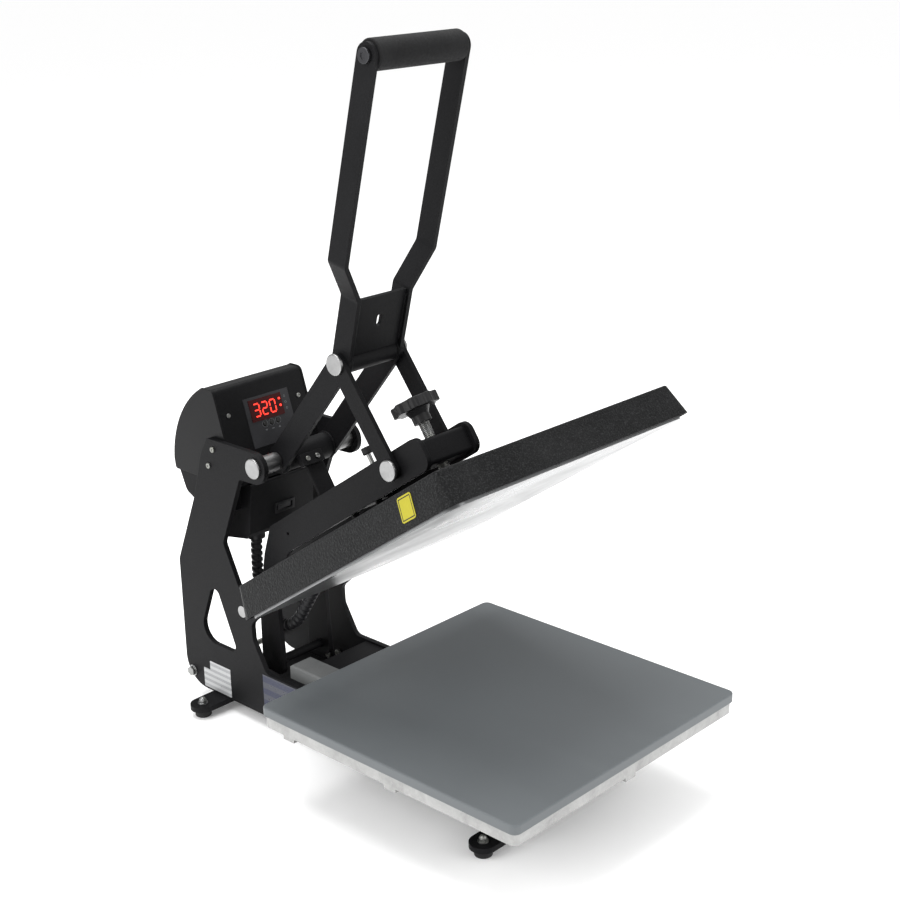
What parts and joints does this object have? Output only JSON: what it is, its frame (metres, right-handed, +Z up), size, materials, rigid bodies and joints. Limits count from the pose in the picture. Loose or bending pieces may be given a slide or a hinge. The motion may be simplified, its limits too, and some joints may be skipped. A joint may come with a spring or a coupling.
{
  "type": "clamshell heat press",
  "caption": "Black clamshell heat press with a square grey pad, a hinged heated upper platen, a toggle lever with grip and a control box",
  "frame": {"origin": "middle of the bounding box, on the bench", "axes": "+Z up; the operator stands on the -Y side and +X is to the operator's right"},
  "size_m": [0.415, 0.711, 0.9038],
  "materials": {
    "powder_coat": "fine-textured satin black powder coat",
    "hammered_coat": "hammered semi-gloss black enamel",
    "bright_steel": "turned steel, lightly polished",
    "satin_steel": "turned steel tube, satin",
    "zinc": "bright zinc plate",
    "dark_steel": "black oxide, socket heads",
    "cast_aluminium": "rough cast, unpainted",
    "heat_plate": "ground and hard coated, soft reflection",
    "element": "sheathed tube heater, heat stained",
    "silicone": "smooth grey silicone sheet",
    "board": "pressed insulation board",
    "rubber": "moulded black rubber",
    "foam": "closed-cell foam grip",
    "knob_plastic": "moulded phenolic, satin",
    "cable_wrap": "black spiral wrap",
    "black_plastic": "moulded, semi-gloss",
    "panel_film": "printed polyester film",
    "display": "dark red tinted window",
    "led_red": "lit segments",
    "button_black": "moulded button cap",
    "label_white": "white film label",
    "label_yellow": "yellow film label",
    "decal": null,
    "lock_grey": "light grey cast block"
  },
  "bodies": {
    "frame": {"base_channel": "powder_coat", "cross_bars": "powder_coat", "rubber_feet": "rubber", "foot_nuts": "zinc", "pivot_shaft": "bright_steel", "spacer_sleeves": "satin_steel", "top_shaft": "bright_steel", "rear_tie_rod": "zinc", "side_plate_left": "powder_coat", "side_plate_right": "powder_coat", "lower_platen": "cast_aluminium", "silicone_pad": "silicone", "platen_lock_block": "lock_grey", "rating_label": "label_white", "rail_decal": "decal", "box_shell": "powder_coat", "box_caps": "powder_coat", "lower_box": "powder_coat", "switch_bezel": "black_plastic", "panel_overlay": "panel_film", "display_window": "display", "display_digits": "led_red", "frame_screws": "zinc", "mains_inlet": "black_plastic", "heater_cable": "cable_wrap", "box_cable_gland": "black_plastic"},
    "arm": {"arm_plate_left": "powder_coat", "arm_plate_right": "powder_coat", "arm_cross_tubes": "powder_coat", "arm_front_block": "powder_coat", "arm_top_web": "powder_coat", "arm_guide_block": "powder_coat", "stop_bolt": "zinc", "stop_bumper": "rubber", "arm_screws": "zinc", "stop_bracket": "powder_coat", "bracket_block": "powder_coat"},
    "platen": {"platen_cover": "hammered_coat", "heat_plate": "heat_plate", "heating_elements": "element", "insulation_board": "board", "platen_mount": "powder_coat", "platen_cable_gland": "black_plastic", "hot_surface_label": "label_yellow"},
    "knob": {"pressure_knob": "knob_plastic", "pressure_screw": "zinc"},
    "lever": {"handle_bar_left": "powder_coat", "handle_bar_right": "powder_coat", "grip_sleeve": "foam", "grip_rod": "dark_steel", "handle_web": "powder_coat", "lever_cross_tubes": "powder_coat", "knee_shaft": "bright_steel", "rear_links": "powder_coat"},
    "front_links_body": {"front_links": "powder_coat", "clevis_pins": "bright_steel"},
    "button_1": {"panel_button_1": "button_black"},
    "button_2": {"panel_button_2": "button_black"},
    "button_3": {"panel_button_3": "button_black"},
    "rocker": {"power_rocker": "black_plastic"}
  },
  "joints": [
    {"name": "arm_fold", "type": "hinge", "parent": "frame", "child": "arm", "pos_m": [0, 0.2237, 0.1577], "axis": [1, 0, 0], "range_deg": [0, 34.1], "deforming": ["heater_cable"]},
    {"name": "lever_swing", "type": "hinge", "parent": "frame", "child": "lever", "pos_m": [0, 0.1821, 0.3672], "axis": [1, 0, 0], "range_deg": [0, 73.8]},
    {"name": "link_swing", "type": "hinge", "parent": "lever", "child": "front_links_body", "pos_m": [0, 0.0566, 0.5193], "axis": [1, 0, 0], "range_deg": [-98.3, 0]},
    {"name": "knob_spin", "type": "hinge", "parent": "arm", "child": "knob", "pos_m": [0, -0.05233, 0.42888], "axis": [0, 0.5606, 0.8281], "range_deg": [-360, 360]},
    {"name": "platen_slide", "type": "slide", "parent": "arm", "child": "platen", "axis": [0, 0.5606, 0.8281], "range_m": [-0.002, 0.002]},
    {"name": "button_1_press", "type": "slide", "parent": "frame", "child": "button_1", "axis": [0, 0.9535, -0.3015], "range_m": [0, 0.0008], "stiffness_N_per_m": 400},
    {"name": "button_2_press", "type": "slide", "parent": "frame", "child": "button_2", "axis": [0, 0.9535, -0.3015], "range_m": [0, 0.0008], "stiffness_N_per_m": 400},
    {"name": "button_3_press", "type": "slide", "parent": "frame", "child": "button_3", "axis": [0, 0.9535, -0.3015], "range_m": [0, 0.0008], "stiffness_N_per_m": 400},
    {"name": "rocker_tip", "type": "hinge", "parent": "frame", "child": "rocker", "pos_m": [0.004, 0.23215, 0.28069], "axis": [0, -0.1205, 0.9927], "range_deg": [-10, 0]}
  ],
  "couplings": [
    {"joint": "lever_swing", "follows": "arm_fold", "ratio": 2.1618},
    {"joint": "link_swing", "follows": "arm_fold", "ratio": -2.8779},
    {"joint": "knob_spin", "follows": "platen_slide", "rad_per_m": -3141.6}
  ]
}
